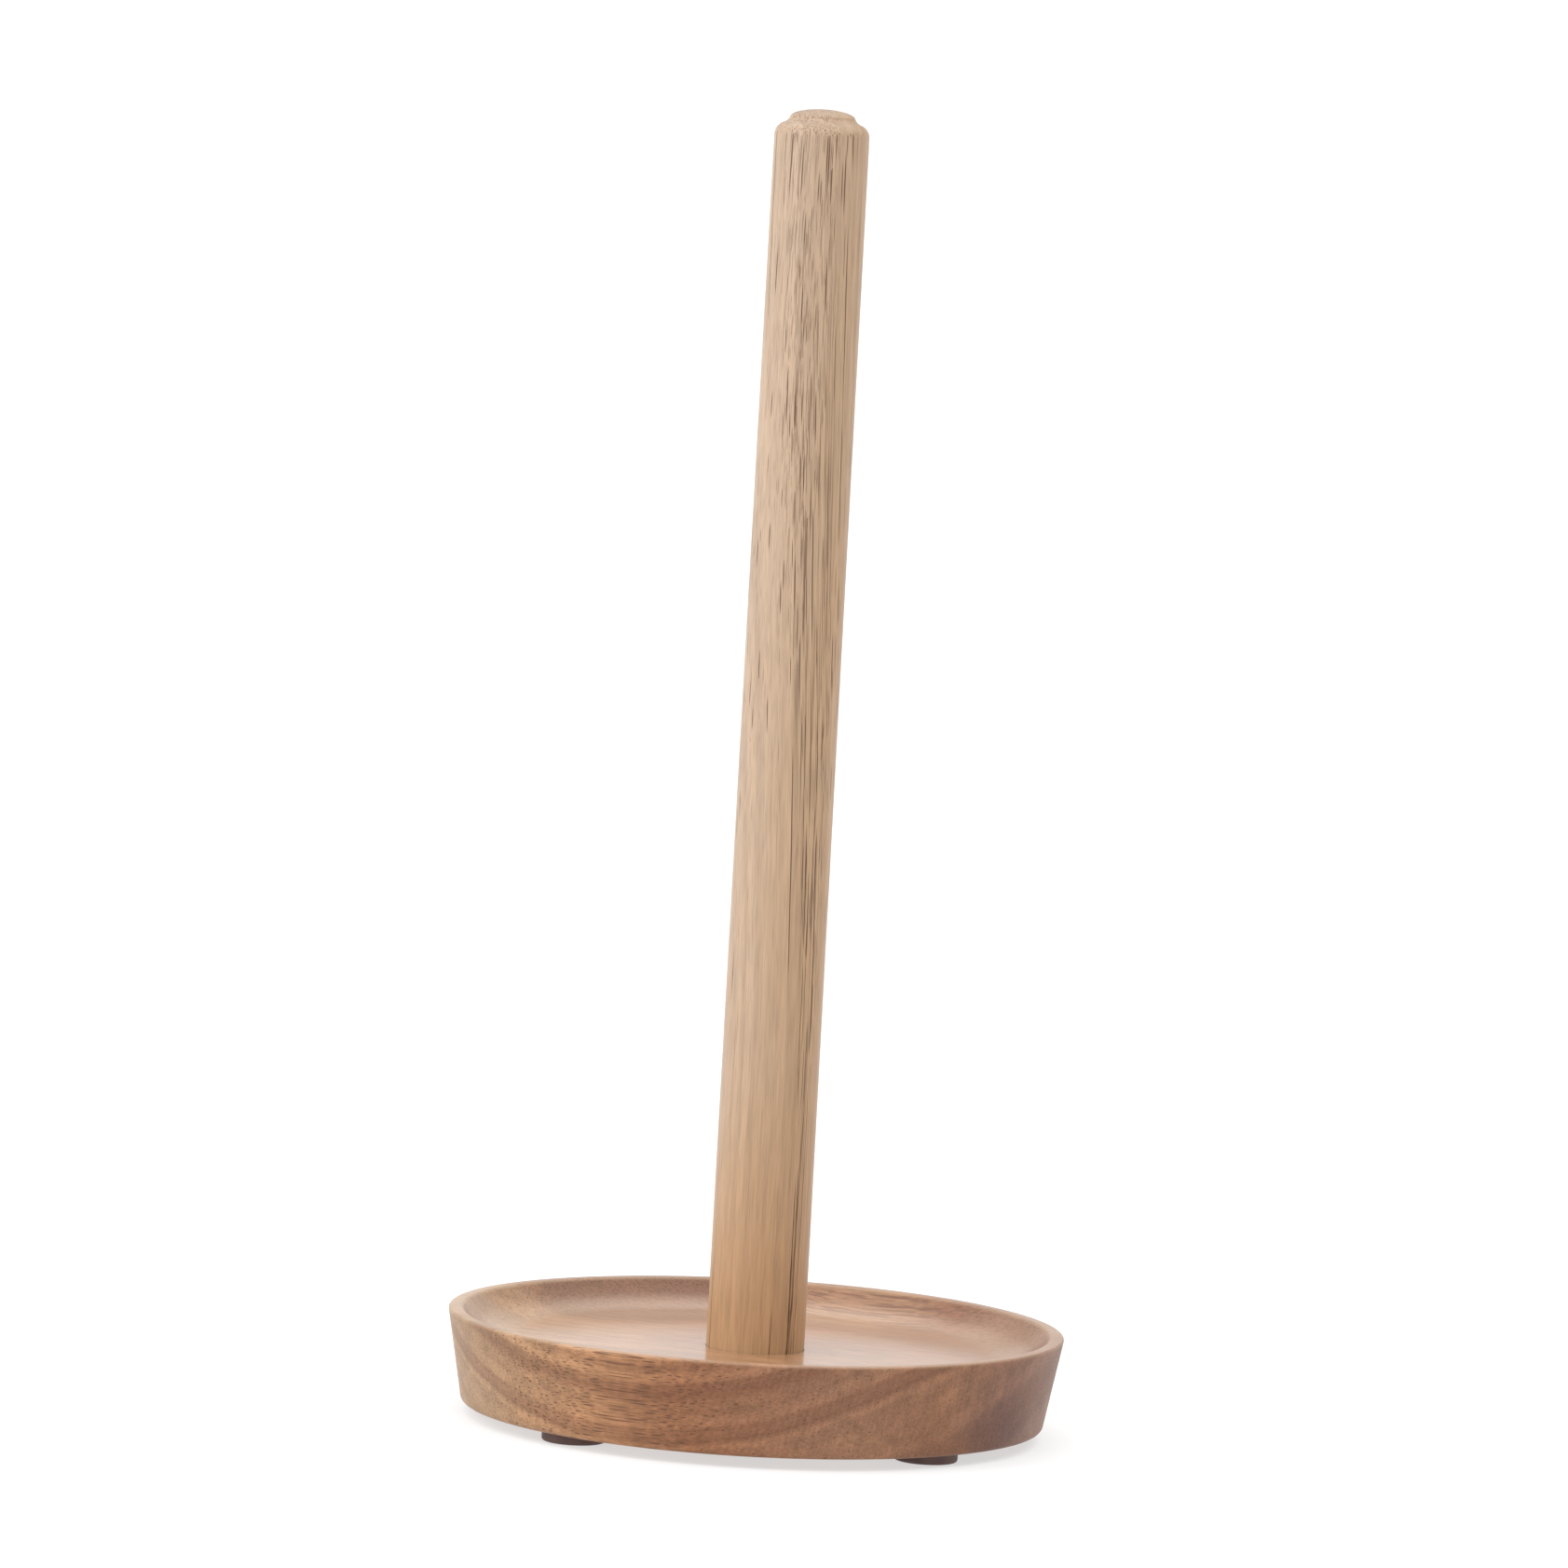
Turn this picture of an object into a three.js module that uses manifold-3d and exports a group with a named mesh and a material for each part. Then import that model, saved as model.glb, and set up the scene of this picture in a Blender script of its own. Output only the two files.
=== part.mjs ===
// A free-standing paper towel holder: a dished wooden tray, an upright turned post that is bolted to
// the tray from below, and four rubber feet stuck under the tray. Units are millimetres and +Z is up.
// The origin is on the ground, under the middle of the tray, and -Y is the front.

import * as THREE from 'three';
import { mergeVertices } from 'three/addons/utils/BufferGeometryUtils.js';
import Module from 'manifold-3d';

const wasm = await Module();
wasm.setup();

// ---------- Driving dimensions ----------

const OVERALL_HEIGHT = 341; // ground to the top of the post's dome
const LOOSE_FIT = 0.3; // gap between a piece and the hole that it sits in

// Tray
const RIM_RADIUS = 80;
const RIM_HEIGHT = 27.3; // ground to the rim's flat top
const RIM_WIDTH = 3.7;
const WALL_FLARE = THREE.MathUtils.degToRad(10.5); // how far the wall leans out
const DISH_DEPTH = 7.1; // rim to floor
const COVE_RADIUS = 22; // the curve from the floor up to the rim
const RIM_ROUNDING = 0.9;
const UNDERSIDE_ROUNDING = 1.4;

// Post
const POST_FOOT_RADIUS = 12.75;
const POST_TOP_RADIUS = 12.25;
const SOCKET_DEPTH = 3; // how far the post is let into the tray's floor
const PILOT_DEPTH = 18; // the hole up the middle of the post
const SHOULDER_ROUND = 3.6;
const SHOULDER_SWEEP = THREE.MathUtils.degToRad(62);
const DOME_RADIUS = 8.4; // the end of the post, inside its shoulder
const DOME_HEIGHT = 2.3;
const STEP_HEIGHT = 1.5; // from the shoulder's round up to the dome's edge

// Feet
const FOOT_RADIUS = 8.2;
const FOOT_HEIGHT = 2.6;
const FOOT_ROUNDING = 0.9;
const FOOT_PITCH_RADIUS = 63.5; // centre of the tray to the centre of a foot
const TAPE_RADIUS = 7.5;
const TAPE_THICKNESS = 0.4;

// Fixings: an M6 button-head bolt, its washer, and a threaded insert with a coarse outer thread
const BOLT_RADIUS = 3;
const BOLT_LENGTH = 25; // under the head
const BOLT_TIP_CHAMFER = 0.8;
const HEAD_RADIUS = 5.25;
const HEAD_HEIGHT = 3.3;
const HEAD_EDGE_HEIGHT = 0.5;
const HEX_ACROSS_FLATS = 4;
const HEX_DEPTH = 2.1;
const WASHER_RADIUS = 9;
const WASHER_THICKNESS = 1.6;
const WASHER_ROUNDING = 0.3;
const COUNTERBORE_RADIUS = 10;
const COUNTERBORE_DEPTH = 6;
const INSERT_LENGTH = 13;
const INSERT_CREST_RADIUS = 4.9;
const INSERT_ROOT_RADIUS = 4.2;
const INSERT_PITCH = 2.2;
const INSERT_THREADS = 5;
const INSERT_SETBACK = 0.5; // how far the insert sits up inside the post's end
const SLOT_WIDTH = 1.6;
const SLOT_DEPTH = 1.8;

// Facets round each turned piece
const TRAY_FACETS = 72;
const POST_FACETS = 48;
const FOOT_FACETS = 32;
const FIXING_FACETS = 24;

// ---------- Worked-out heights and radii ----------

const trayUnderside = FOOT_HEIGHT + TAPE_THICKNESS;
const trayHeight = RIM_HEIGHT - trayUnderside;
const trayUndersideRadius = RIM_RADIUS - trayHeight * Math.tan(WALL_FLARE);
const floorHeight = trayHeight - DISH_DEPTH; // above the tray's underside
const socketHeight = floorHeight - SOCKET_DEPTH;
const postBase = trayUnderside + socketHeight;
const postLength = OVERALL_HEIGHT - postBase;
const clearanceHoleRadius = BOLT_RADIUS + LOOSE_FIT;
const washerBase = trayUnderside + COUNTERBORE_DEPTH - WASHER_THICKNESS;

// ---------- Materials ----------

function material(color, roughness, metalness = 0) {
  return new THREE.MeshStandardMaterial({ color, roughness, metalness });
}

const trayWood = material(0xb98a64, 0.5);
const postWood = material(0xc9a67e, 0.55);
const rubber = material(0x33221e, 0.85);
const tape = material(0xd8d4c8, 0.9);
const steel = material(0xb4b6b8, 0.35, 1);
const brass = material(0xb8964f, 0.4, 1);

// ---------- Shape helpers ----------

// An outline is a list of corners, each [radius, height, rounding]. Rounding is the distance from the
// corner at which the curve that softens it starts and ends. A corner without it is sharp.
function outline(corners, steps = 6) {
  const points = corners.map(([radius, height]) => new THREE.Vector2(radius, height));
  return points.flatMap((corner, i) => {
    const rounding = corners[i][2] ?? 0;
    if (rounding === 0) return [corner];
    const before = points[i - 1].clone().sub(corner).setLength(rounding).add(corner);
    const after = points[i + 1].clone().sub(corner).setLength(rounding).add(corner);
    return new THREE.QuadraticBezierCurve(before, corner, after).getPoints(steps);
  });
}

// Corners along an arc, or a quarter of an ellipse where the two radii differ. Angles are measured
// from +radius towards +height.
function arc(centre, radii, startAngle, endAngle, steps) {
  const clockwise = endAngle < startAngle;
  const curve = new THREE.EllipseCurve(...centre, ...radii, startAngle, endAngle, clockwise);
  return curve.getPoints(steps).map((point) => [point.x, point.y]);
}

// Turns an outline about the Z axis. The outline runs with the material on its left, and either
// starts and ends on the axis or comes back to its first corner.
function turned(corners, facets) {
  return new THREE.LatheGeometry(outline(corners), facets).rotateX(Math.PI / 2);
}

function toSolid(geometry) {
  const bare = geometry.clone();
  bare.deleteAttribute('normal');
  bare.deleteAttribute('uv');
  const merged = mergeVertices(bare);
  const vertProperties = new Float32Array(merged.attributes.position.array);
  const triVerts = new Uint32Array(merged.index.array);
  return new wasm.Manifold(new wasm.Mesh({ numProp: 3, vertProperties, triVerts }));
}

function cutFrom(geometry, cutter) {
  const { vertProperties, triVerts } = toSolid(geometry).subtract(toSolid(cutter)).getMesh();
  const result = new THREE.BufferGeometry();
  result.setAttribute('position', new THREE.BufferAttribute(vertProperties, 3));
  result.setIndex(new THREE.BufferAttribute(triVerts, 1));
  result.computeVertexNormals();
  return result;
}

const holder = new THREE.Group();

function addPart(name, geometry, partMaterial, x, y, z) {
  const mesh = new THREE.Mesh(geometry, partMaterial);
  mesh.name = name;
  mesh.position.set(x, y, z);
  holder.add(mesh);
}

// ---------- Tray ----------

// The cove rises from the flat floor to the rim's inner edge, where it meets the flat at an angle.
function dishCove() {
  const rise = Math.acos(1 - DISH_DEPTH / COVE_RADIUS);
  const innerRim = RIM_RADIUS - RIM_WIDTH;
  const centre = [innerRim - COVE_RADIUS * Math.sin(rise), floorHeight + COVE_RADIUS];
  const lowest = -Math.PI / 2;
  return arc(centre, [COVE_RADIUS, COVE_RADIUS], lowest + rise, lowest, 7);
}

// Underside, wall, rim, dish, the post's socket, the bolt's clearance hole and its counterbore.
function trayGeometry() {
  const socketRadius = POST_FOOT_RADIUS + LOOSE_FIT;
  const [innerRim, ...cove] = dishCove();
  const corners = [
    [COUNTERBORE_RADIUS, 0],
    [trayUndersideRadius, 0, UNDERSIDE_ROUNDING],
    [RIM_RADIUS, trayHeight, RIM_ROUNDING],
    [...innerRim, RIM_ROUNDING],
    ...cove,
    [socketRadius, floorHeight],
    [socketRadius, socketHeight],
    [clearanceHoleRadius, socketHeight],
    [clearanceHoleRadius, COUNTERBORE_DEPTH],
    [COUNTERBORE_RADIUS, COUNTERBORE_DEPTH],
    [COUNTERBORE_RADIUS, 0],
  ];
  return turned(corners, TRAY_FACETS);
}

addPart('tray', trayGeometry(), trayWood, 0, 0, trayUnderside);

// ---------- Post ----------

// The top of the post: a rounded shoulder, a small hollow step, and a low dome of end grain.
function postTop() {
  const domeEdge = postLength - DOME_HEIGHT;
  const roundTop = domeEdge - STEP_HEIGHT;
  const roundCentreHeight = roundTop - SHOULDER_ROUND * Math.sin(SHOULDER_SWEEP);
  const roundCentre = [POST_TOP_RADIUS - SHOULDER_ROUND, roundCentreHeight];
  const shoulder = arc(roundCentre, [SHOULDER_ROUND, SHOULDER_ROUND], 0, SHOULDER_SWEEP, 6);
  const hollowDepth = STEP_HEIGHT / 3;
  const hollow = [(shoulder.at(-1)[0] + DOME_RADIUS) / 2 - hollowDepth / 2, roundTop + hollowDepth];
  const dome = arc([0, domeEdge], [DOME_RADIUS, DOME_HEIGHT], 0, Math.PI / 2, 7);
  return [...shoulder, hollow, ...dome];
}

function postGeometry() {
  const pilotRadius = INSERT_CREST_RADIUS + LOOSE_FIT;
  const corners = [
    [0, PILOT_DEPTH],
    [pilotRadius, PILOT_DEPTH],
    [pilotRadius, 0],
    [POST_FOOT_RADIUS, 0],
    ...postTop(),
  ];
  return turned(corners, POST_FACETS);
}

addPart('post', postGeometry(), postWood, 0, 0, postBase);

// ---------- Fixings ----------

// A tube with a coarse thread outside, drawn as separate rings, and a screwdriver slot in its end.
function insertGeometry() {
  const bore = BOLT_RADIUS + LOOSE_FIT;
  const threads = [];
  for (let i = 0; i < INSERT_THREADS; i += 1) {
    const foot = 1 + i * INSERT_PITCH;
    threads.push([INSERT_ROOT_RADIUS, foot]);
    threads.push([INSERT_CREST_RADIUS, foot + INSERT_PITCH / 2]);
  }
  const corners = [
    [bore, 0],
    [INSERT_ROOT_RADIUS, 0],
    ...threads,
    [INSERT_ROOT_RADIUS, 1 + INSERT_THREADS * INSERT_PITCH],
    [INSERT_ROOT_RADIUS, INSERT_LENGTH],
    [bore, INSERT_LENGTH],
    [bore, 0],
  ];
  const slot = new THREE.BoxGeometry(SLOT_WIDTH, 4 * INSERT_CREST_RADIUS, 2 * SLOT_DEPTH);
  return cutFrom(turned(corners, FIXING_FACETS), slot);
}

function washerGeometry() {
  const corners = [
    [clearanceHoleRadius, 0],
    [WASHER_RADIUS, 0, WASHER_ROUNDING],
    [WASHER_RADIUS, WASHER_THICKNESS, WASHER_ROUNDING],
    [clearanceHoleRadius, WASHER_THICKNESS],
    [clearanceHoleRadius, 0],
  ];
  return turned(corners, 2 * FIXING_FACETS);
}

// The bolt points up. Its head is a low dome with a flat end and a hexagon socket.
function boltGeometry() {
  const domeHeight = HEAD_HEIGHT - HEAD_EDGE_HEIGHT;
  const dome = arc([0, domeHeight], [HEAD_RADIUS, domeHeight], -Math.PI / 2, 0, 8).slice(4);
  const flatEnd = [[0, dome[0][1]]];
  const shankTop = HEAD_HEIGHT + BOLT_LENGTH;
  const corners = [
    ...flatEnd,
    ...dome,
    [HEAD_RADIUS, HEAD_HEIGHT],
    [BOLT_RADIUS, HEAD_HEIGHT],
    [BOLT_RADIUS, shankTop - BOLT_TIP_CHAMFER],
    [BOLT_RADIUS - BOLT_TIP_CHAMFER, shankTop],
    [0, shankTop],
  ];
  const hexRadius = HEX_ACROSS_FLATS / Math.sqrt(3);
  const socket = new THREE.CylinderGeometry(hexRadius, hexRadius, 2 * (HEX_DEPTH + dome[0][1]), 6);
  return cutFrom(turned(corners, FIXING_FACETS), socket.rotateX(Math.PI / 2));
}

addPart('threaded_insert', insertGeometry(), brass, 0, 0, postBase + INSERT_SETBACK);
addPart('washer', washerGeometry(), steel, 0, 0, washerBase);
addPart('bolt', boltGeometry(), steel, 0, 0, washerBase - HEAD_HEIGHT);

// ---------- Feet ----------

function footGeometry() {
  const corners = [
    [0, 0],
    [FOOT_RADIUS, 0, FOOT_ROUNDING],
    [FOOT_RADIUS, FOOT_HEIGHT, FOOT_ROUNDING / 3],
    [0, FOOT_HEIGHT],
  ];
  return turned(corners, FOOT_FACETS);
}

function tapeGeometry() {
  const corners = [
    [0, 0],
    [TAPE_RADIUS, 0],
    [TAPE_RADIUS, TAPE_THICKNESS],
    [0, TAPE_THICKNESS],
  ];
  return turned(corners, FOOT_FACETS);
}

// Each foot is a rubber disc held by a disc of double-sided tape, on the tray's diagonals.
const offset = FOOT_PITCH_RADIUS * Math.SQRT1_2;
for (const [row, y] of [['front', -offset], ['back', offset]]) {
  for (const [side, x] of [['left', -offset], ['right', offset]]) {
    addPart(`foot_${row}_${side}`, footGeometry(), rubber, x, y, 0);
    addPart(`foot_tape_${row}_${side}`, tapeGeometry(), tape, x, y, FOOT_HEIGHT);
  }
}

export default holder;
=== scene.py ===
"""The looks of the paper towel holder: fine turned shapes, solid woods, rubber feet and steel fixings.

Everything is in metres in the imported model's frame: +Z up, -Y the front, and the origin on the ground
under the tray.
"""

import math

import bpy
from mathutils import Matrix, Vector


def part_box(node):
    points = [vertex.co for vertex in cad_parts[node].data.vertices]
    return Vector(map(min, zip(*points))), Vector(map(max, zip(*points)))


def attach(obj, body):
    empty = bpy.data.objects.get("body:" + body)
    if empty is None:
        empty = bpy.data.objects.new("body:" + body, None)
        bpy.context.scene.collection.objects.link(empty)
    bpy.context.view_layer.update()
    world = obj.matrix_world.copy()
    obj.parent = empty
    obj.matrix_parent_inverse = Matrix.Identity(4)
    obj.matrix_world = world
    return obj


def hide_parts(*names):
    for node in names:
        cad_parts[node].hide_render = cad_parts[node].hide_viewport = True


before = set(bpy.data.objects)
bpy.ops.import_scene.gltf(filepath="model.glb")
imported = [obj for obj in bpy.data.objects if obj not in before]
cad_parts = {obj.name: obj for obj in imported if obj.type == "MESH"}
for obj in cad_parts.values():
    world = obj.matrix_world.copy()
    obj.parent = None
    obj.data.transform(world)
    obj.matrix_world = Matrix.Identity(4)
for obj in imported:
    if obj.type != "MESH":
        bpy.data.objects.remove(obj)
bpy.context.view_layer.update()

MM = 0.001

# ---------- Sizes read from the frame ----------

tray_low, tray_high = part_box("tray")
post_low, post_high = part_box("post")
washer_low, washer_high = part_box("washer")
bolt_low, bolt_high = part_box("bolt")

RIM_RADIUS = 80 * MM
WALL_FLARE = math.radians(10.5)
RIM_WIDTH = 3.7 * MM
DISH_DEPTH = 7.1 * MM
COVE_RADIUS = 22 * MM
SOCKET_DEPTH = 3 * MM
SOCKET_GAP = 0.12 * MM
RIM_ROUNDING = 0.9 * MM
UNDERSIDE_ROUNDING = 1.4 * MM
POST_TOP_RADIUS = 12.25 * MM
SHOULDER_ROUND = 3.6 * MM
SHOULDER_SWEEP = math.radians(62)
DOME_RADIUS = 8.4 * MM
DOME_HEIGHT = 2.3 * MM
STEP_HEIGHT = 1.5 * MM
COUNTERBORE_RADIUS = 10 * MM
COUNTERBORE_DEPTH = 6 * MM
CLEARANCE_HOLE_RADIUS = 3.3 * MM
PILOT_RADIUS = 5.2 * MM
PILOT_DEPTH = 18 * MM
POST_FOOT_ROUNDING = 0.4 * MM
FOOT_ROUNDING = 0.9 * MM
FOOT_TOP_ROUNDING = FOOT_ROUNDING / 3
TAPE_ROUNDING = 0.05 * MM
BOLT_RADIUS = 3 * MM
BOLT_TIP_CHAMFER = 0.8 * MM
THREAD_PITCH = 1 * MM
THREAD_DEPTH = 0.5 * MM
HEAD_RADIUS = 5.25 * MM
HEAD_HEIGHT = 3.3 * MM
HEAD_EDGE_HEIGHT = 0.5 * MM
HEX_ACROSS_FLATS = 4 * MM
HEX_DEPTH = 2.1 * MM
HEX_REACH = 3 * MM
HEX_CLEARANCE = 0.1 * MM
WASHER_ROUNDING = 0.3 * MM

post_foot_radius = post_high.x
tray_underside_radius = RIM_RADIUS - (tray_high.z - tray_low.z) * math.tan(WALL_FLARE)
floor_height = tray_high.z - DISH_DEPTH


# ---------- Turned shapes ----------

SHARP_ABOVE = math.radians(35)
ON_AXIS = 1e-9
TRAY_FACETS = 288
POST_FACETS = 160


def arc(centre, radii, start, end, steps):
    """Points of an arc, or of a part of an ellipse, in the radius and height plane."""
    angles = [start + (end - start) * i / steps for i in range(steps + 1)]
    return [(centre[0] + radii[0] * math.cos(a), centre[1] + radii[1] * math.sin(a)) for a in angles]


def softened(corners, steps=6):
    """Replaces each corner (radius, height, rounding) that has a rounding with a smooth curve."""
    points = [Vector(c[:2]) for c in corners]
    outline = []
    for i, corner in enumerate(corners):
        if len(corner) < 3:
            outline.append(points[i])
            continue
        here = points[i]
        before = here + (points[i - 1] - here).normalized() * corner[2]
        after = here + (points[i + 1] - here).normalized() * corner[2]
        for step in range(steps + 1):
            t = step / steps
            outline.append(before * (1 - t) ** 2 + here * 2 * t * (1 - t) + after * t**2)
    return outline


def evenly_cut(outline, longest):
    """Cuts the outline's long straight stretches into pieces no longer than the given length."""
    cut = [outline[0]]
    for start, end in zip(outline, outline[1:]):
        pieces = max(1, math.ceil((end - start).length / longest))
        cut += [start.lerp(end, i / pieces) for i in range(1, pieces + 1)]
    return cut


def ring_faces(low, high, facets):
    """The faces between two neighbouring rings, where a ring of one vertex is a point on the axis."""
    faces = []
    for k in range(facets):
        after = (k + 1) % facets
        if len(low) == 1:
            faces.append((low[0], high[after], high[k]))
        elif len(high) == 1:
            faces.append((low[k], low[after], high[0]))
        else:
            faces.append((low[k], low[after], high[after], high[k]))
    return faces


def turned(name, corners, facets=96, longest=6 * MM, closed=False, shape=None):
    """A smooth turned piece: the outline, run with the material on its left, turned about the Z axis.

    A closed outline comes back to its first corner. An open one starts and ends on the axis. The shape
    is a function of radius, height and angle that returns the radius of a piece that isn't round.
    """
    outline = evenly_cut(softened(corners), longest)
    if closed:
        outline = outline[:-1]
    vertices, rings = [], []
    for radius, height in outline:
        if radius < ON_AXIS:
            rings.append([len(vertices)])
            vertices.append((0, 0, height))
            continue
        rings.append(list(range(len(vertices), len(vertices) + facets)))
        for k in range(facets):
            angle = 2 * math.pi * k / facets
            reach = shape(radius, height, angle) if shape else radius
            vertices.append((reach * math.cos(angle), reach * math.sin(angle), height))
    pairs = list(zip(rings, rings[1:]))
    if closed:
        pairs.append((rings[-1], rings[0]))
    faces = [face for low, high in pairs for face in ring_faces(low, high, facets)]
    mesh = bpy.data.meshes.new(name)
    mesh.from_pydata(vertices, [], faces)
    mesh.polygons.foreach_set("use_smooth", [True] * len(faces))
    mesh.set_sharp_from_angle(angle=SHARP_ABOVE)
    piece = bpy.data.objects.new(name, mesh)
    bpy.context.scene.collection.objects.link(piece)
    return piece


# ---------- Node helpers ----------


class Tree:
    """Builds a node tree in short lines. Most calls add one node and return its output socket."""

    def __init__(self, tree):
        self.tree = tree

    def node(self, kind, inputs, output=0, **settings):
        made = self.tree.nodes.new(kind)
        for key, value in settings.items():
            setattr(made, key, value)
        for key, value in inputs.items():
            if isinstance(value, bpy.types.NodeSocket):
                self.link(value, made.inputs[key])
            else:
                made.inputs[key].default_value = value
        return made.outputs[output]

    def link(self, output, socket):
        self.tree.links.new(output, socket)

    def math(self, operation, *values):
        return self.node("ShaderNodeMath", dict(enumerate(values)), operation=operation)

    def add(self, *values):
        total = values[0]
        for value in values[1:]:
            total = self.math("ADD", total, value)
        return total

    def times(self, a, b):
        return self.math("MULTIPLY", a, b)

    def gap(self, a, b):
        """How far apart two values are."""
        return self.math("ABSOLUTE", self.math("SUBTRACT", a, b))

    def centred(self, noise, amount):
        """Noise from 0 to 1, moved to lie around 0 and scaled to the amount."""
        return self.times(self.math("SUBTRACT", noise, 0.5), amount)

    def smooth(self, value, low, high, to_low=0.0, to_high=1.0, linear=False):
        """Eases from to_low to to_high as the value goes from low to high."""
        inputs = {"Value": value, "From Min": low, "From Max": high, "To Min": to_low, "To Max": to_high}
        kind = "LINEAR" if linear else "SMOOTHSTEP"
        return self.node("ShaderNodeMapRange", inputs, interpolation_type=kind)

    def split(self, vector):
        made = self.tree.nodes.new("ShaderNodeSeparateXYZ")
        self.link(vector, made.inputs[0])
        return made.outputs[0], made.outputs[1], made.outputs[2]

    def join(self, x, y, z):
        return self.node("ShaderNodeCombineXYZ", {"X": x, "Y": y, "Z": z})

    def coordinates(self, kind="Object"):
        return self.node("ShaderNodeTexCoord", {}, kind)

    def facing_up(self):
        """1 where the surface faces up, 0 where it is upright and -1 where it faces down."""
        return self.split(self.coordinates("Normal"))[2]

    def noise(self, vector, scale, detail=2.0, roughness=0.5, output="Fac"):
        """Noise from 0 to 1. The scale is waves per metre."""
        inputs = {"Vector": vector, "Scale": scale, "Detail": detail, "Roughness": roughness}
        return self.node("ShaderNodeTexNoise", inputs, output)

    def bands(self, value, scale, detail=3.0, roughness=0.55):
        """Uneven bands along one value, from 0 to 1, with no two alike."""
        inputs = {"W": value, "Scale": scale, "Detail": detail, "Roughness": roughness}
        return self.node("ShaderNodeTexNoise", inputs, "Fac", noise_dimensions="1D")

    def mix(self, factor, a, b, blend="MIX"):
        """Mixes two colours."""
        inputs = {0: factor, 6: a, 7: b}
        return self.node("ShaderNodeMix", inputs, 2, data_type="RGBA", blend_type=blend)

    def shade(self, base, amount):
        """Makes a colour lighter or darker by an amount around 1."""
        return self.node("ShaderNodeVectorMath", {0: base, "Scale": amount}, operation="SCALE")

    def ramp(self, value, stops):
        """A colour ramp from (position, colour) stops."""
        made = self.tree.nodes.new("ShaderNodeValToRGB")
        elements = made.color_ramp.elements
        while len(elements) < len(stops):
            elements.new(1.0)
        for element, (position, colour) in zip(elements, stops):
            element.position = position
            element.color = colour
        self.link(value, made.inputs[0])
        return made.outputs[0]

    def finish(self, shader, base, relief, roughness):
        """Joins a colour, a relief in metres and a roughness to the shader."""
        bump = self.node("ShaderNodeBump", {"Height": relief, "Strength": 1.0, "Distance": 1.0}, "Normal")
        self.link(base, shader.inputs["Base Color"])
        self.link(bump, shader.inputs["Normal"])
        self.link(roughness, shader.inputs["Roughness"])


def colour(red, green, blue):
    return (red, green, blue, 1.0)


def new_material(name):
    material = bpy.data.materials.new(name)
    material.use_nodes = True
    tree = material.node_tree
    shader = next(n for n in tree.nodes if n.type == "BSDF_PRINCIPLED")
    return material, Tree(tree), shader


# ---------- Wood ----------

PORE_RADIUS = 0.16 * MM
FINE_PORE_RADIUS = 0.09 * MM
PORE_RELIEF = -0.06 * MM
SATIN_ROUGHNESS = 0.2
WOOD_SPECULAR = 0.25


def wobbled(tree, across_a, across_b, along, amount, per_metre):
    """Bends straight fibres a little, so that no two run quite alike."""
    slow = tree.join(tree.times(across_a, 3.0), tree.times(across_b, 3.0), along)
    drift = tree.split(tree.noise(slow, per_metre, output="Color"))
    bent_a = tree.add(across_a, tree.centred(drift[0], amount))
    bent_b = tree.add(across_b, tree.centred(drift[1], amount))
    return bent_a, bent_b


def vessels(tree, across_a, across_b, spacing, radius, share):
    """The wood's open pores: long fine tubes along the fibres, 1 inside a tube and 0 outside.

    The share is the part of the places that hold a tube, from 0 to 1. Where a tube runs out through
    the surface at a slant it shows as a short dash, and on end grain as a dot.
    """
    cells = {"Vector": tree.join(across_a, across_b, 0.0), "Scale": 1.0 / spacing}
    distance = tree.node("ShaderNodeTexVoronoi", cells, "Distance", voronoi_dimensions="2D")
    luck, size, _ = tree.split(distance.node.outputs["Color"])
    edge = tree.times(tree.add(size, 0.6), radius / spacing)
    inside = tree.math("SUBTRACT", 1.0, tree.math("DIVIDE", distance, edge))
    present = tree.math("LESS_THAN", luck, share)
    return tree.times(tree.smooth(inside, 0.0, 0.5), present)


def streaks(tree, across_a, across_b, along, width, length, detail=3.0):
    """Fine grain drawn out along the fibres, from 0 to 1."""
    stretched = tree.join(across_a, across_b, tree.times(along, width / length))
    return tree.noise(stretched, 1.0 / width, detail=detail, roughness=0.6)


def finish_wood(tree, shader, base, relief, roughness, gloss):
    """Joins a wood's colour, relief and satin finish to its shader."""
    tree.finish(shader, base, relief, roughness)
    tree.link(gloss, shader.inputs["Coat Weight"])
    shader.inputs["Coat Roughness"].default_value = SATIN_ROUGHNESS
    shader.inputs["Specular IOR Level"].default_value = WOOD_SPECULAR


# ---------- The tray's wood ----------

TRAY_FIBRE_TURN = math.radians(25.5)
RING_TILT = 0.3
RING_BOW = 2.0

DARK_RING_COLOUR = colour(0.115, 0.040, 0.020)
TRAY_PORE_COLOUR = colour(0.110, 0.044, 0.021)
TRAY_FINE_PORE_COLOUR = colour(0.120, 0.050, 0.025)
BACK_STREAK_COLOUR = colour(0.120, 0.046, 0.024)
# Painted sheen: the pale golden colour mixed into the flat of the dish.
DISH_SHEEN_COLOUR = colour(0.62, 0.40, 0.20)
# Painted highlight: the pale colour along the rim's top edge.
RIM_HIGHLIGHT_COLOUR = colour(0.43, 0.30, 0.18)

# The board's colour, from 0 at the tray's left side to 1 at its right side.
BOARD_COLOURS = [
    (0.04, colour(0.345, 0.210, 0.117)),
    (0.26, colour(0.410, 0.207, 0.102)),
    (0.42, colour(0.285, 0.126, 0.060)),
    (0.66, colour(0.295, 0.146, 0.083)),
    (0.82, colour(0.275, 0.130, 0.068)),
    (0.92, colour(0.235, 0.112, 0.066)),
    (1.00, colour(0.235, 0.130, 0.088)),
]
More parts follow.
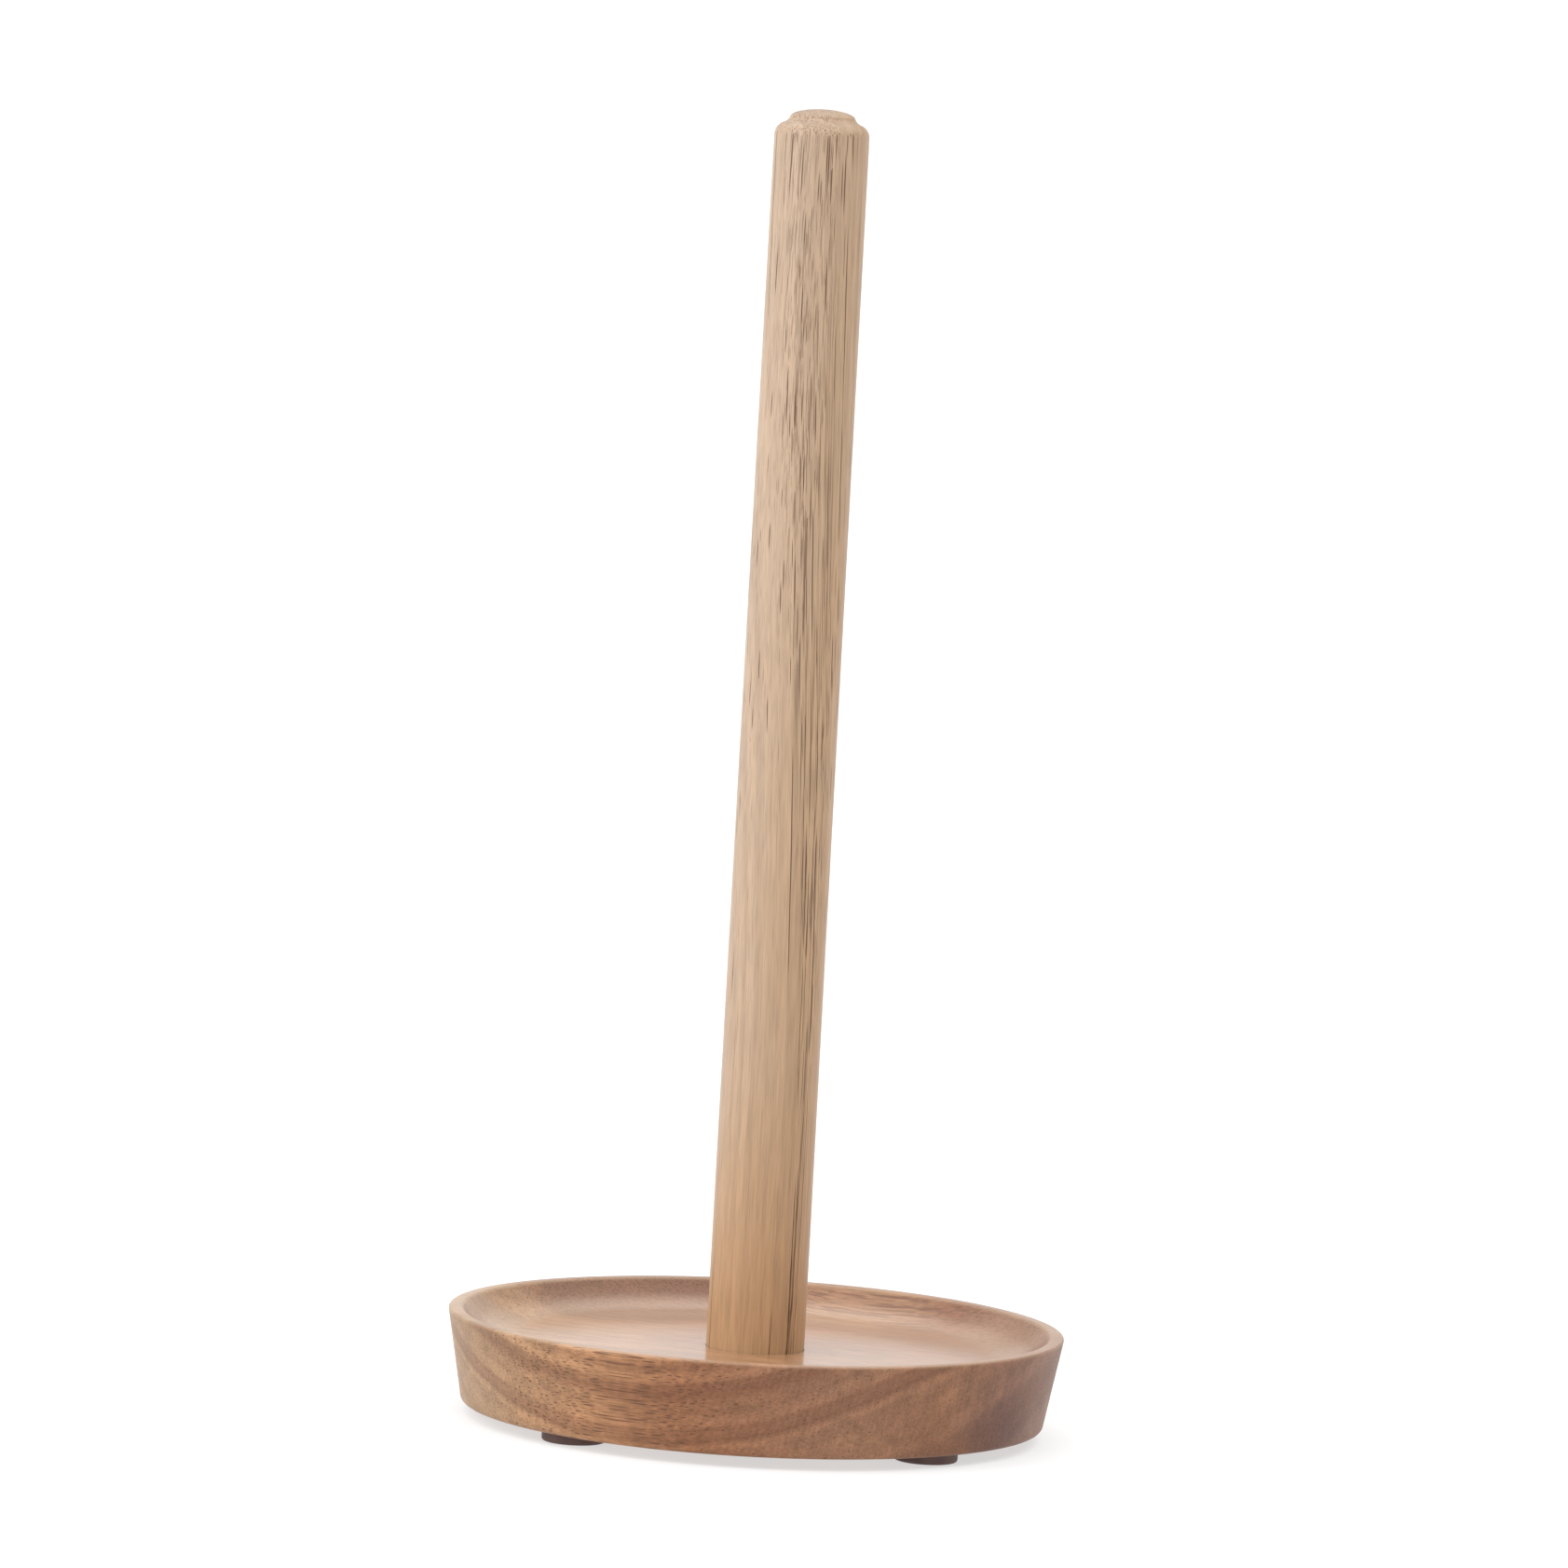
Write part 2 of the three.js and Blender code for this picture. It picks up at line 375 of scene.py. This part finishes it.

# Patches of other colour, one of them a painted sheen: centre, radius of the full depth, radius where it
# ends, depth and colour.
PATCHES_AND_SHEEN = [
    ((63 * MM, -42 * MM, 9 * MM), 0.0, 22 * MM, 0.56, colour(0.085, 0.040, 0.036)),
    ((43 * MM, -62 * MM, 6 * MM), 2 * MM, 15 * MM, 0.30, colour(0.150, 0.065, 0.038)),
    ((-38 * MM, 68 * MM, 24 * MM), 24 * MM, 46 * MM, 0.75, colour(0.150, 0.064, 0.032)),
    ((72 * MM, 24 * MM, 26 * MM), 12 * MM, 34 * MM, 0.35, colour(0.460, 0.300, 0.200)),
    ((30 * MM, 72 * MM, 24 * MM), 10 * MM, 30 * MM, 0.40, colour(0.370, 0.215, 0.110)),
    # painted sheen: pale greyish colour on the dish's inner left wall, where light glances off it
    ((-76 * MM, 8 * MM, 25 * MM), 10 * MM, 28 * MM, 0.40, colour(0.440, 0.330, 0.260)),
]

# Rings that show as darker lines: where they cross the tray's middle, half width and depth of colour.
DARK_RINGS = [
    (3.0 * MM, 9.0 * MM, 0.45),
    (27.8 * MM, 1.5 * MM, 0.25),
    (29.4 * MM, 4.5 * MM, 0.44),
    (31.0 * MM, 1.2 * MM, 0.20),
    (36.0 * MM, 1.5 * MM, 0.15),
    (41.5 * MM, 4.5 * MM, 0.60),
    (43.5 * MM, 1.2 * MM, 0.25),
    (48.5 * MM, 2.0 * MM, 0.30),
]


def tray_rings(tree, base, ring, mottle):
    """Growth rings as uneven bands, a few of them showing as darker lines."""
    band = tree.bands(ring, 150.0)
    base = tree.shade(base, tree.smooth(band, 0.3, 0.7, 0.86, 1.08))
    base = tree.shade(base, tree.smooth(mottle, 0.25, 0.75, 0.84, 1.14))
    for height, half_width, depth in DARK_RINGS:
        near = tree.smooth(tree.gap(ring, height), 0.0, half_width, depth, 0.0)
        uneven = tree.smooth(mottle, 0.25, 0.6, 0.5, 1.0)
        base = tree.mix(tree.times(near, uneven), base, DARK_RING_COLOUR)
    return base


def tray_patches_and_sheen(tree, base, place, mottle):
    """Patches of other colour with ragged edges, one of them a painted sheen."""
    for centre, core, reach, depth, tint in PATCHES_AND_SHEEN:
        off = tree.node("ShaderNodeVectorMath", {0: place, 1: centre}, "Value", operation="DISTANCE")
        off = tree.add(off, tree.centred(mottle, 8 * MM))
        base = tree.mix(tree.smooth(off, core, reach, depth, 0.0), base, tint)
    return base


def back_streaks(tree, base, x, y, long_grain):
    """Dark streaks in the back of the dish, right of the post."""
    behind = tree.times(tree.smooth(y, 30 * MM, 55 * MM), tree.smooth(x, 0.0, 14 * MM))
    behind = tree.times(behind, tree.smooth(x, 42 * MM, 64 * MM, 1.0, 0.25))
    dark = tree.times(tree.smooth(long_grain, 0.47, 0.60), behind)
    return tree.mix(tree.times(dark, 0.72), base, BACK_STREAK_COLOUR)


def painted_sheen_and_gloss(tree, base, z):
    """Paints a sheen on the flat of the dish and a highlight on the rim's edges as paler colour, and
    returns the colour and the gloss.
    """
    facing_up = tree.facing_up()
    low_down = tree.smooth(z, floor_height + 2 * MM, tray_high.z - 1 * MM, 1.0, 0.3)
    flat = tree.times(tree.smooth(facing_up, 0.80, 1.0), low_down)
    # painted sheen: the up-facing flat of the dish is made paler and more golden, standing in for overhead
    # light and the post's reflection
    base = tree.shade(base, tree.add(tree.times(flat, 0.08), 1.0))
    base = tree.mix(tree.times(flat, 0.20), base, DISH_SHEEN_COLOUR)
    # painted highlight: the rim's top edge is made paler, standing in for the light it catches
    edge = tree.smooth(z, tray_high.z - 0.9 * MM, tray_high.z - 0.2 * MM, 0.0, 0.22)
    base = tree.mix(edge, base, RIM_HIGHLIGHT_COLOUR)
    inside = tree.smooth(facing_up, -0.10, 0.20, 0.0, 0.16)
    return base, tree.add(inside, tree.times(flat, 0.84))


def tray_wood():
    """Figured red-brown hardwood, paler at the left, its fibres level and a little off the X axis."""
    material, tree, shader = new_material("tray_wood")
    place = tree.coordinates()
    x, y, z = tree.split(place)
    turn = {"Vector": place, "Rotation": (0.0, 0.0, TRAY_FIBRE_TURN)}
    along, across, _ = tree.split(tree.node("ShaderNodeMapping", turn))
    bent_across, bent_z = wobbled(tree, across, z, along, amount=0.5 * MM, per_metre=30.0)
    cloud = tree.noise(tree.join(tree.times(along, 0.5), across, z), 40.0, detail=3.0)
    mottle = tree.noise(tree.join(tree.times(along, 0.4), across, z), 220.0, detail=4.0, roughness=0.6)
    shifted = tree.add(x, tree.centred(cloud, 40 * MM))
    base = tree.ramp(tree.smooth(shifted, -RIM_RADIUS, RIM_RADIUS, linear=True), BOARD_COLOURS)

    # growth rings, tilted across the fibres and bowed along them
    bow = tree.times(tree.times(along, along), RING_BOW)
    ring = tree.add(bent_z, tree.times(bent_across, -RING_TILT), tree.times(bow, -1.0))
    ring = tree.add(ring, tree.centred(cloud, 5 * MM))
    base = tray_rings(tree, base, ring, mottle)
    # patches of other colour, and a painted sheen on the dish's inner left wall
    base = tray_patches_and_sheen(tree, base, place, mottle)

    # ray fleck, drawn out up the rings, and grain, drawn out along the fibres
    ray = tree.noise(tree.join(tree.times(along, 0.25), across, tree.times(z, 0.08)), 2200.0)
    base = tree.shade(base, tree.smooth(ray, 0.3, 0.7, 0.91, 1.10))
    grain = streaks(tree, bent_across, bent_z, along, width=0.45 * MM, length=10 * MM)
    base = tree.shade(base, tree.smooth(grain, 0.36, 0.68, 1.09, 0.80))

    # open pores, most of them left of the middle
    left = tree.times(tree.smooth(x, -72 * MM, -52 * MM), tree.smooth(x, -30 * MM, -2 * MM, 1.0, 0.08))
    share = tree.times(left, tree.smooth(cloud, 0.35, 0.65, 0.35, 0.95))
    pores = vessels(tree, bent_across, bent_z, 0.70 * MM, PORE_RADIUS, share)
    fine = vessels(tree, bent_across, bent_z, 0.42 * MM, FINE_PORE_RADIUS, share)
    base = tree.mix(tree.times(pores, 0.85), base, TRAY_PORE_COLOUR)
    base = tree.mix(tree.times(fine, 0.50), base, TRAY_FINE_PORE_COLOUR)

    long_grain = streaks(tree, bent_across, bent_z, along, width=1.1 * MM, length=26 * MM)
    base = back_streaks(tree, base, x, y, long_grain)
    # painted sheen on the flat of the dish and painted highlight on the rim's edge, with the gloss of the
    # finish
    base, gloss = painted_sheen_and_gloss(tree, base, z)
    relief = tree.add(tree.times(pores, PORE_RELIEF), tree.times(grain, 0.015 * MM))
    roughness = tree.smooth(grain, 0.2, 0.8, 0.42, 0.52)
    finish_wood(tree, shader, base, relief, roughness, gloss)
    return material


# ---------- The post's wood ----------

POST_PINK = colour(0.430, 0.311, 0.221)
POST_GOLD = colour(0.415, 0.268, 0.157)
POST_LOW_GOLD = colour(0.435, 0.265, 0.143)
POST_LINE_COLOUR = colour(0.11, 0.052, 0.024)
POST_CRACK_COLOUR = colour(0.065, 0.030, 0.015)
POST_PORE_COLOUR = colour(0.11, 0.052, 0.025)
POST_FINE_PORE_COLOUR = colour(0.17, 0.092, 0.048)


def post_colour(tree, x, y, z):
    """Pinkish tan, more golden to the right and lower down."""
    cloud = tree.noise(tree.join(x, y, tree.times(z, 0.3)), 90.0, detail=3.0)
    gold = tree.add(x, tree.times(tree.math("SUBTRACT", 0.2, z), 0.04))
    gold = tree.add(gold, tree.centred(cloud, 12 * MM))
    base = tree.mix(tree.smooth(gold, -14 * MM, 16 * MM), POST_PINK, POST_GOLD)
    base = tree.mix(tree.smooth(z, 100 * MM, 20 * MM), base, POST_LOW_GOLD)
    mottle = tree.noise(tree.join(x, y, tree.times(z, 0.12)), 600.0, detail=3.0)
    return tree.shade(base, tree.smooth(mottle, 0.25, 0.75, 0.95, 1.05))


def drying_crack(tree, base, ring, long_grain, z):
    """A fine drying crack up the lower third, at the right of the front."""
    crack_place = tree.add(ring, tree.centred(long_grain, 6 * MM), -6.0 * MM)
    crack = tree.smooth(tree.math("ABSOLUTE", crack_place), 0.08 * MM, 0.45 * MM, 1.0, 0.0)
    crack = tree.times(crack, tree.smooth(z, 70 * MM, 130 * MM, 1.0, 0.0))
    return tree.mix(tree.times(crack, 0.90), base, POST_CRACK_COLOUR)


def post_wood():
    """Pale straight-grained hardwood with its fibres up the post, leaning more towards the top."""
    material, tree, shader = new_material("post_wood")
    x, y, z = tree.split(tree.coordinates())
    leant_x = tree.add(x, tree.smooth(z, 80 * MM, 320 * MM, 0.0, 7 * MM))
    leant_y = tree.add(y, tree.smooth(z, 140 * MM, 420 * MM, 0.0, 5 * MM))
    across_x, across_y = wobbled(tree, leant_x, leant_y, z, amount=0.5 * MM, per_metre=25.0)
    ring = tree.add(across_x, tree.times(across_y, 0.3))
    base = post_colour(tree, x, y, z)
    base = tree.shade(base, tree.smooth(tree.bands(ring, 450.0), 0.35, 0.75, 1.04, 0.88))

    # the dark grain keeps to a few of the rings
    middle = tree.smooth(z, 150 * MM, 330 * MM, 6.2 * MM, 3.0 * MM)
    reach = tree.smooth(z, 60 * MM, 280 * MM, 2.0 * MM, 7 * MM)
    dark_zone = tree.smooth(tree.math("DIVIDE", tree.gap(ring, middle), reach), 0.5, 1.4, 1.0, 0.0)
    grain = streaks(tree, across_x, across_y, z, width=0.32 * MM, length=12 * MM, detail=4.0)
    base = tree.shade(base, tree.smooth(grain, 0.38, 0.72, 1.07, 0.85))
    long_grain = streaks(tree, across_x, across_y, z, width=0.38 * MM, length=50 * MM, detail=2.0)
    lines = tree.times(tree.smooth(long_grain, 0.57, 0.60), dark_zone)
    line_depth = tree.smooth(z, 180 * MM, 300 * MM, 0.85, 0.45)
    base = tree.mix(tree.times(lines, line_depth), base, POST_LINE_COLOUR)
    base = drying_crack(tree, base, ring, long_grain, z)

    # the pores, which show as faint dots on the rounded end
    facing_up = tree.facing_up()
    on_side = tree.smooth(facing_up, 0.15, 0.60, 1.0, 0.25)
    share = tree.add(tree.times(dark_zone, 0.30), tree.smooth(z, 120 * MM, 220 * MM, 0.10, 0.20))
    pores = vessels(tree, across_x, across_y, 0.75 * MM, PORE_RADIUS, share)
    fine = vessels(tree, across_x, across_y, 0.45 * MM, FINE_PORE_RADIUS, share)
    base = tree.mix(tree.times(tree.times(fine, on_side), 0.60), base, POST_FINE_PORE_COLOUR)
    base = tree.mix(tree.times(tree.times(pores, on_side), 0.92), base, POST_PORE_COLOUR)

    # the end of the post is end grain, which takes the finish darker
    base = tree.shade(base, tree.smooth(facing_up, 0.5, 0.95, 1.0, 0.86))

    dents = tree.add(tree.times(pores, PORE_RELIEF), tree.times(lines, -0.04 * MM))
    relief = tree.add(dents, tree.times(grain, 0.03 * MM))
    roughness = tree.smooth(grain, 0.2, 0.8, 0.40, 0.52)
    finish_wood(tree, shader, base, relief, roughness, tree.times(grain, 0.1))
    return material


# ---------- Tray ----------


def tray_corners():
    rise = math.acos(1 - DISH_DEPTH / COVE_RADIUS)
    inner_rim = RIM_RADIUS - RIM_WIDTH
    cove_centre = (inner_rim - COVE_RADIUS * math.sin(rise), floor_height + COVE_RADIUS)
    lowest = -math.pi / 2
    cove = arc(cove_centre, (COVE_RADIUS, COVE_RADIUS), lowest + rise, lowest, 24)
    socket = post_foot_radius + SOCKET_GAP
    low = tray_low.z
    return [
        (COUNTERBORE_RADIUS, low),
        (tray_underside_radius, low, UNDERSIDE_ROUNDING),
        (RIM_RADIUS, tray_high.z, RIM_ROUNDING),
        (inner_rim, tray_high.z, RIM_ROUNDING),
        *cove[1:],
        (socket, floor_height),
        (socket, floor_height - SOCKET_DEPTH),
        (CLEARANCE_HOLE_RADIUS, floor_height - SOCKET_DEPTH),
        (CLEARANCE_HOLE_RADIUS, low + COUNTERBORE_DEPTH),
        (COUNTERBORE_RADIUS, low + COUNTERBORE_DEPTH),
        (COUNTERBORE_RADIUS, low),
    ]


tray = turned("turned_tray", tray_corners(), facets=TRAY_FACETS, closed=True)
tray.data.materials.append(tray_wood())
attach(tray, "root")
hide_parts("tray")


# ---------- Post ----------


def post_corners():
    dome_edge = post_high.z - DOME_HEIGHT
    round_top = dome_edge - STEP_HEIGHT
    round_centre = (POST_TOP_RADIUS - SHOULDER_ROUND, round_top - SHOULDER_ROUND * math.sin(SHOULDER_SWEEP))
    shoulder = arc(round_centre, (SHOULDER_ROUND, SHOULDER_ROUND), 0, SHOULDER_SWEEP, 14)
    last = Vector(shoulder[-1])
    bend = Vector(((last.x + DOME_RADIUS) / 2 - STEP_HEIGHT / 4, round_top + STEP_HEIGHT / 4))
    edge = Vector((DOME_RADIUS, dome_edge))
    hollow = [last * (1 - t) ** 2 + bend * 2 * t * (1 - t) + edge * t**2 for t in (0.2, 0.4, 0.6, 0.8)]
    dome = arc((0, dome_edge), (DOME_RADIUS, DOME_HEIGHT), 0, math.pi / 2, 20)
    return [
        (0, post_low.z + PILOT_DEPTH),
        (PILOT_RADIUS, post_low.z + PILOT_DEPTH),
        (PILOT_RADIUS, post_low.z),
        (post_foot_radius, post_low.z, POST_FOOT_ROUNDING),
        *shoulder,
        *[tuple(p) for p in hollow],
        *dome[:-1],
        (0, post_high.z),
    ]


post = turned("turned_post", post_corners(), facets=POST_FACETS)
post.data.materials.append(post_wood())
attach(post, "root")
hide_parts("post")


# ---------- Feet ----------


def rubber():
    """Dark brown moulded rubber with a fine grain."""
    material, tree, shader = new_material("foot_rubber")
    place = tree.coordinates()
    grain = tree.noise(place, 2500.0, detail=3.0)
    cloud = tree.noise(place, 200.0)
    dark = colour(0.085, 0.042, 0.036)
    light = colour(0.110, 0.058, 0.048)
    base = tree.mix(tree.smooth(cloud, 0.3, 0.7), dark, light)
    roughness = tree.smooth(grain, 0.3, 0.7, 0.50, 0.65)
    tree.finish(shader, base, tree.times(grain, 0.05 * MM), roughness)
    return material


def foam_tape():
    """Dark double-sided foam tape."""
    material, tree, shader = new_material("foot_tape")
    cells = tree.noise(tree.coordinates(), 4000.0)
    dark = colour(0.035, 0.026, 0.024)
    light = colour(0.060, 0.045, 0.040)
    base = tree.mix(tree.smooth(cells, 0.3, 0.7), dark, light)
    roughness = tree.smooth(cells, 0.3, 0.7, 0.7, 0.9)
    tree.finish(shader, base, tree.times(cells, 0.04 * MM), roughness)
    return material


def disc(name, node, material, rounding_below, rounding_above):
    """A turned disc the size of a CAD node, in its place."""
    low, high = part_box(node)
    radius = (high.x - low.x) / 2
    corners = [
        (0, low.z),
        (radius, low.z, rounding_below),
        (radius, high.z, rounding_above),
        (0, high.z),
    ]
    piece = turned(name, corners, longest=2 * MM)
    piece.location = ((low.x + high.x) / 2, (low.y + high.y) / 2, 0)
    piece.data.materials.append(material)
    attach(piece, "root")
    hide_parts(node)


foot_rubber = rubber()
tape = foam_tape()
for row in ("front", "back"):
    for side in ("left", "right"):
        corner = f"{row}_{side}"
        foot = f"foot_{corner}"
        foot_tape = f"foot_tape_{corner}"
        disc(f"rubber_foot_{corner}", foot, foot_rubber, FOOT_ROUNDING, FOOT_TOP_ROUNDING)
        disc(f"foam_tape_{corner}", foot_tape, tape, TAPE_ROUNDING, TAPE_ROUNDING)


# ---------- Fixings ----------

head_top = washer_low.z
bolt_core = BOLT_RADIUS - THREAD_DEPTH


def metal(name, dark, light, smoothest, roughest):
    """Turned metal: fine lathe rings about the Z axis, with uneven brightness."""
    material, tree, shader = new_material(name)
    x, y, z = tree.split(tree.coordinates())
    radius = tree.math("SQRT", tree.add(tree.times(x, x), tree.times(y, y)))
    rings = tree.bands(tree.add(radius, z), 6000.0, detail=2.0)
    cloud = tree.noise(tree.join(x, y, z), 400.0, detail=3.0)
    base = tree.mix(tree.smooth(cloud, 0.3, 0.7), dark, light)
    roughness = tree.smooth(cloud, 0.3, 0.7, smoothest, roughest)
    tree.finish(shader, base, tree.times(rings, 0.01 * MM), roughness)
    shader.inputs["Metallic"].default_value = 1.0
    return material


def bolt_shape(radius, height, angle):
    """A hexagon socket in the head, and a helical thread up the shank."""
    if radius < HEX_REACH and height < head_top - HEX_CLEARANCE:
        sixth = math.pi / 3
        return radius / math.cos(angle % sixth - sixth / 2)
    if radius > bolt_core and head_top < height < bolt_high.z - THREAD_PITCH:
        turn = height / THREAD_PITCH - angle / (2 * math.pi)
        return radius - THREAD_DEPTH * (1 - abs(2 * (turn % 1) - 1))
    return radius


def bolt_corners():
    dome_height = HEAD_HEIGHT - HEAD_EDGE_HEIGHT
    dome_centre = (0, head_top - HEAD_EDGE_HEIGHT)
    dome = arc(dome_centre, (HEAD_RADIUS, dome_height), -math.pi / 4, 0, 16)
    flats = HEX_ACROSS_FLATS / 2
    return [
        (0, bolt_low.z + HEX_DEPTH),
        (flats, bolt_low.z + HEX_DEPTH),
        (flats, bolt_low.z),
        *dome,
        (HEAD_RADIUS, head_top),
        (BOLT_RADIUS, head_top),
        (BOLT_RADIUS, bolt_high.z - BOLT_TIP_CHAMFER),
        (BOLT_RADIUS - BOLT_TIP_CHAMFER, bolt_high.z),
        (0, bolt_high.z),
    ]


def washer_corners():
    return [
        (CLEARANCE_HOLE_RADIUS, washer_low.z),
        (washer_high.x, washer_low.z, WASHER_ROUNDING),
        (washer_high.x, washer_high.z, WASHER_ROUNDING),
        (CLEARANCE_HOLE_RADIUS, washer_high.z),
        (CLEARANCE_HOLE_RADIUS, washer_low.z),
    ]


steel = metal("steel", colour(0.50, 0.51, 0.53), colour(0.62, 0.63, 0.65), 0.22, 0.38)
bolt = turned("button_head_bolt", bolt_corners(), longest=0.2 * MM, shape=bolt_shape)
washer = turned("flat_washer", washer_corners(), longest=1 * MM, closed=True)
for piece, node in ((bolt, "bolt"), (washer, "washer")):
    piece.data.materials.append(steel)
    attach(piece, "root")
    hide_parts(node)

# The insert is a plain machined part inside the post, so its CAD solid stays, in brass.
insert = bpy.data.objects["threaded_insert"]
insert.data.materials.clear()
insert.data.materials.append(metal("brass", colour(0.60, 0.40, 0.15), colour(0.74, 0.53, 0.24), 0.25, 0.40))


# ---------- Floor and light ----------

FLOOR_SIZE = 60.0
FLOOR_GLOW = 0.6
HORIZON_TOP = 0.15
HORIZON_LIGHT = 1.1
SKY_LIGHT = 0.4
OVERHEAD_LIGHT = 2.2
KEY_PLACE = (-1.4, -0.6, 0.8)
KEY_SIZE = 1.0
KEY_POWER = 13.0


def studio_floor():
    """A plain pale table that glows a little itself, so that it stays white under the tray."""
    half = FLOOR_SIZE / 2
    corners = [(-half, -half, 0), (half, -half, 0), (half, half, 0), (-half, half, 0)]
    mesh = bpy.data.meshes.new("floor")
    mesh.from_pydata(corners, [], [(0, 1, 2, 3)])
    floor = bpy.data.objects.new("floor", mesh)
    bpy.context.scene.collection.objects.link(floor)
    material, _, shader = new_material("floor_white")
    shader.inputs["Base Color"].default_value = colour(0.35, 0.35, 0.35)
    shader.inputs["Roughness"].default_value = 0.9
    shader.inputs["Specular IOR Level"].default_value = 0.0
    shader.inputs["Emission Color"].default_value = colour(1.0, 1.0, 1.0)
    shader.inputs["Emission Strength"].default_value = FLOOR_GLOW
    mesh.materials.append(material)


def studio_world():
    """White studio air: bright along the horizon, past the floor's far edge, and brightest overhead."""
    world = bpy.data.worlds.new("studio")
    world.use_nodes = True
    tree = Tree(world.node_tree)
    up = tree.split(tree.coordinates("Generated"))[2]
    low = tree.smooth(up, HORIZON_TOP, 2 * HORIZON_TOP, HORIZON_LIGHT, SKY_LIGHT)
    high = tree.smooth(up, 2 * HORIZON_TOP, 1.0, 0.0, OVERHEAD_LIGHT)
    background = world.node_tree.nodes["Background"]
    tree.link(tree.add(low, high), background.inputs["Strength"])
    background.inputs["Color"].default_value = colour(1.0, 1.0, 1.0)
    bpy.context.scene.world = world


def softbox(name, place, target, size, power):
    """A square studio light that faces the target."""
    light = bpy.data.lights.new(name, "AREA")
    light.shape = "SQUARE"
    light.size = size
    light.energy = power
    lamp = bpy.data.objects.new(name, light)
    lamp.location = place
    lamp.rotation_euler = (Vector(target) - Vector(place)).to_track_quat("-Z", "Y").to_euler()
    bpy.context.scene.collection.objects.link(lamp)


studio_floor()
studio_world()
softbox("key", KEY_PLACE, (0, 0, post_high.z / 2), KEY_SIZE, KEY_POWER)


# ---------- Camera ----------

# A long lens a little higher than the post's top. It looks slightly down, and is rolled so that the
# post leans to the right.
CAMERA_SIDE = -0.00055
CAMERA_DISTANCE = 2.3967
CAMERA_HEIGHT = 0.36558
CAMERA_PITCH = math.radians(4.737)
CAMERA_ROLL = math.radians(3.161)
CAMERA_LENS = 213.9
SENSOR_WIDTH = 36.0

camera_data = bpy.data.cameras.new("camera")
camera_data.lens = CAMERA_LENS
camera_data.sensor_width = SENSOR_WIDTH
camera = bpy.data.objects.new("camera", camera_data)
camera.matrix_world = (
    Matrix.Translation((CAMERA_SIDE, -CAMERA_DISTANCE, CAMERA_HEIGHT))
    @ Matrix.Rotation(math.pi / 2 - CAMERA_PITCH, 4, "X")
    @ Matrix.Rotation(CAMERA_ROLL, 4, "Z")
)
bpy.context.scene.collection.objects.link(camera)
bpy.context.scene.camera = camera
bpy.context.scene.view_settings.view_transform = "Standard"
